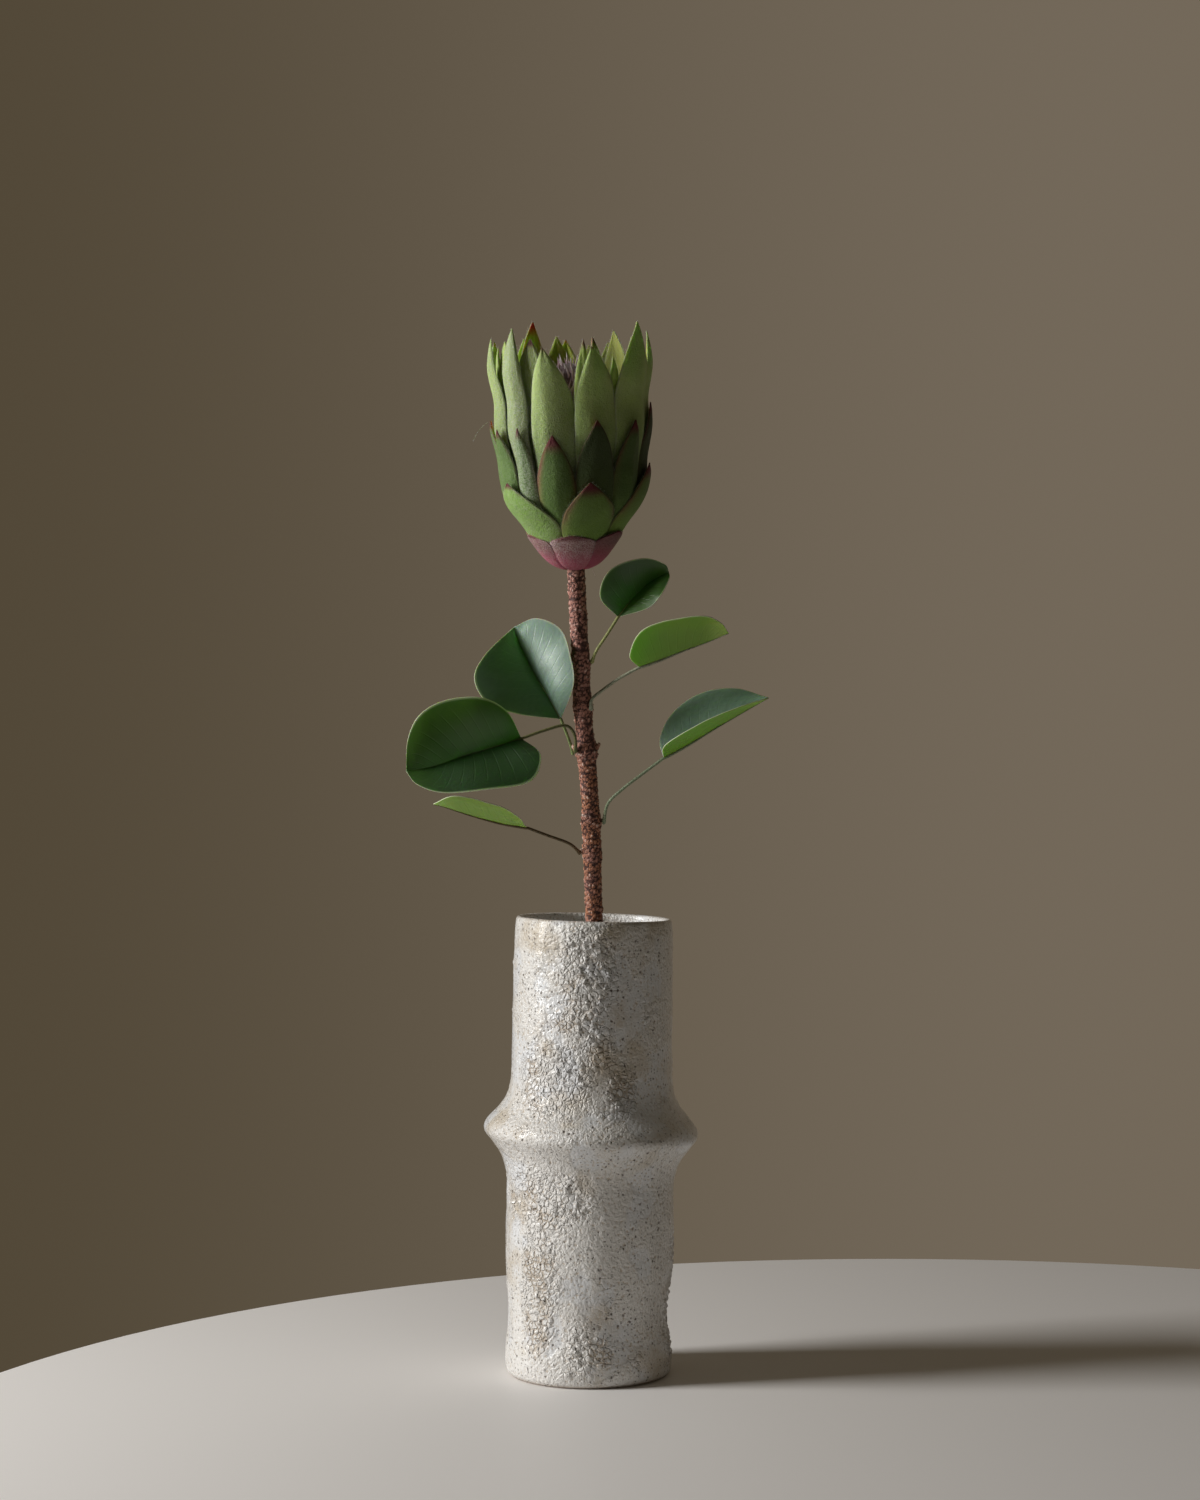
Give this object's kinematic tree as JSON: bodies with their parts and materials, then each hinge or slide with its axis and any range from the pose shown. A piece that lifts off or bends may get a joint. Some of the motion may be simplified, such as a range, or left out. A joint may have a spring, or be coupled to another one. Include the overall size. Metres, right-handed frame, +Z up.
{
  "type": "protea flower in a vase",
  "caption": "Half-open protea flower on a leafy woody stem, leaning in a tall collared stoneware vase.",
  "frame": {"origin": "centre of the vase's flat underside", "axes": "+Z up the vase, towards the flower; the flower leans towards -Y, the side it is seen from; +X to the right"},
  "size_m": [0.2224, 0.2317, 0.6601],
  "materials": {
    "stoneware_glaze": "white glossy glaze over rough, cratered stoneware, with beige and brown patches and fine dark specks",
    "bark": "reddish brown bark with short pale scales",
    "receptacle": "dull green fleshy core",
    "florets": "silky pale pink, white and purple filaments",
    "base_bracts": "pink and dark red felted bracts",
    "lower_bracts": "green felted bracts with red tips and rusty edges",
    "middle_bracts": "green felted bracts with dark red tips and edges",
    "outer_petals": "pale green velvety bracts",
    "inner_petals": "yellow green inner bracts with red tips",
    "leaves": "dark green waxy leaves with pale margins"
  },
  "bodies": {
    "root": {"vase": "stoneware_glaze", "stem": "bark", "receptacle": "receptacle", "florets": "florets", "base_bract_1": "base_bracts", "base_bract_2": "base_bracts", "base_bract_3": "base_bracts", "base_bract_4": "base_bracts", "base_bract_5": "base_bracts", "base_bract_6": "base_bracts", "lower_bract_1": "lower_bracts", "lower_bract_2": "lower_bracts", "lower_bract_3": "lower_bracts", "lower_bract_4": "lower_bracts", "lower_bract_5": "lower_bracts", "lower_bract_6": "lower_bracts", "middle_bract_1": "middle_bracts", "middle_bract_2": "middle_bracts", "middle_bract_3": "middle_bracts", "middle_bract_4": "middle_bracts", "middle_bract_5": "middle_bracts", "middle_bract_6": "middle_bracts", "middle_bract_7": "middle_bracts", "middle_bract_8": "middle_bracts", "middle_bract_9": "middle_bracts", "middle_bract_10": "middle_bracts", "middle_bract_11": "middle_bracts", "middle_bract_12": "middle_bracts", "outer_petal_bract_1": "outer_petals", "outer_petal_bract_2": "outer_petals", "outer_petal_bract_3": "outer_petals", "outer_petal_bract_4": "outer_petals", "outer_petal_bract_5": "outer_petals", "outer_petal_bract_6": "outer_petals", "outer_petal_bract_7": "outer_petals", "outer_petal_bract_8": "outer_petals", "outer_petal_bract_9": "outer_petals", "outer_petal_bract_10": "outer_petals", "outer_petal_bract_11": "outer_petals", "inner_petal_bract_1": "inner_petals", "inner_petal_bract_2": "inner_petals", "inner_petal_bract_3": "inner_petals", "inner_petal_bract_4": "inner_petals", "inner_petal_bract_5": "inner_petals", "inner_petal_bract_6": "inner_petals", "inner_petal_bract_7": "inner_petals", "inner_petal_bract_8": "inner_petals", "inner_petal_bract_9": "inner_petals", "inner_petal_bract_10": "inner_petals", "inner_petal_bract_11": "inner_petals", "inner_petal_bract_12": "inner_petals", "inner_petal_bract_13": "inner_petals", "leaf_left_upper": "leaves", "leaf_left_large": "leaves", "leaf_left_lower": "leaves", "leaf_right_upper": "leaves", "leaf_right_middle": "leaves", "leaf_right_lower": "leaves"}
  },
  "joints": []
}
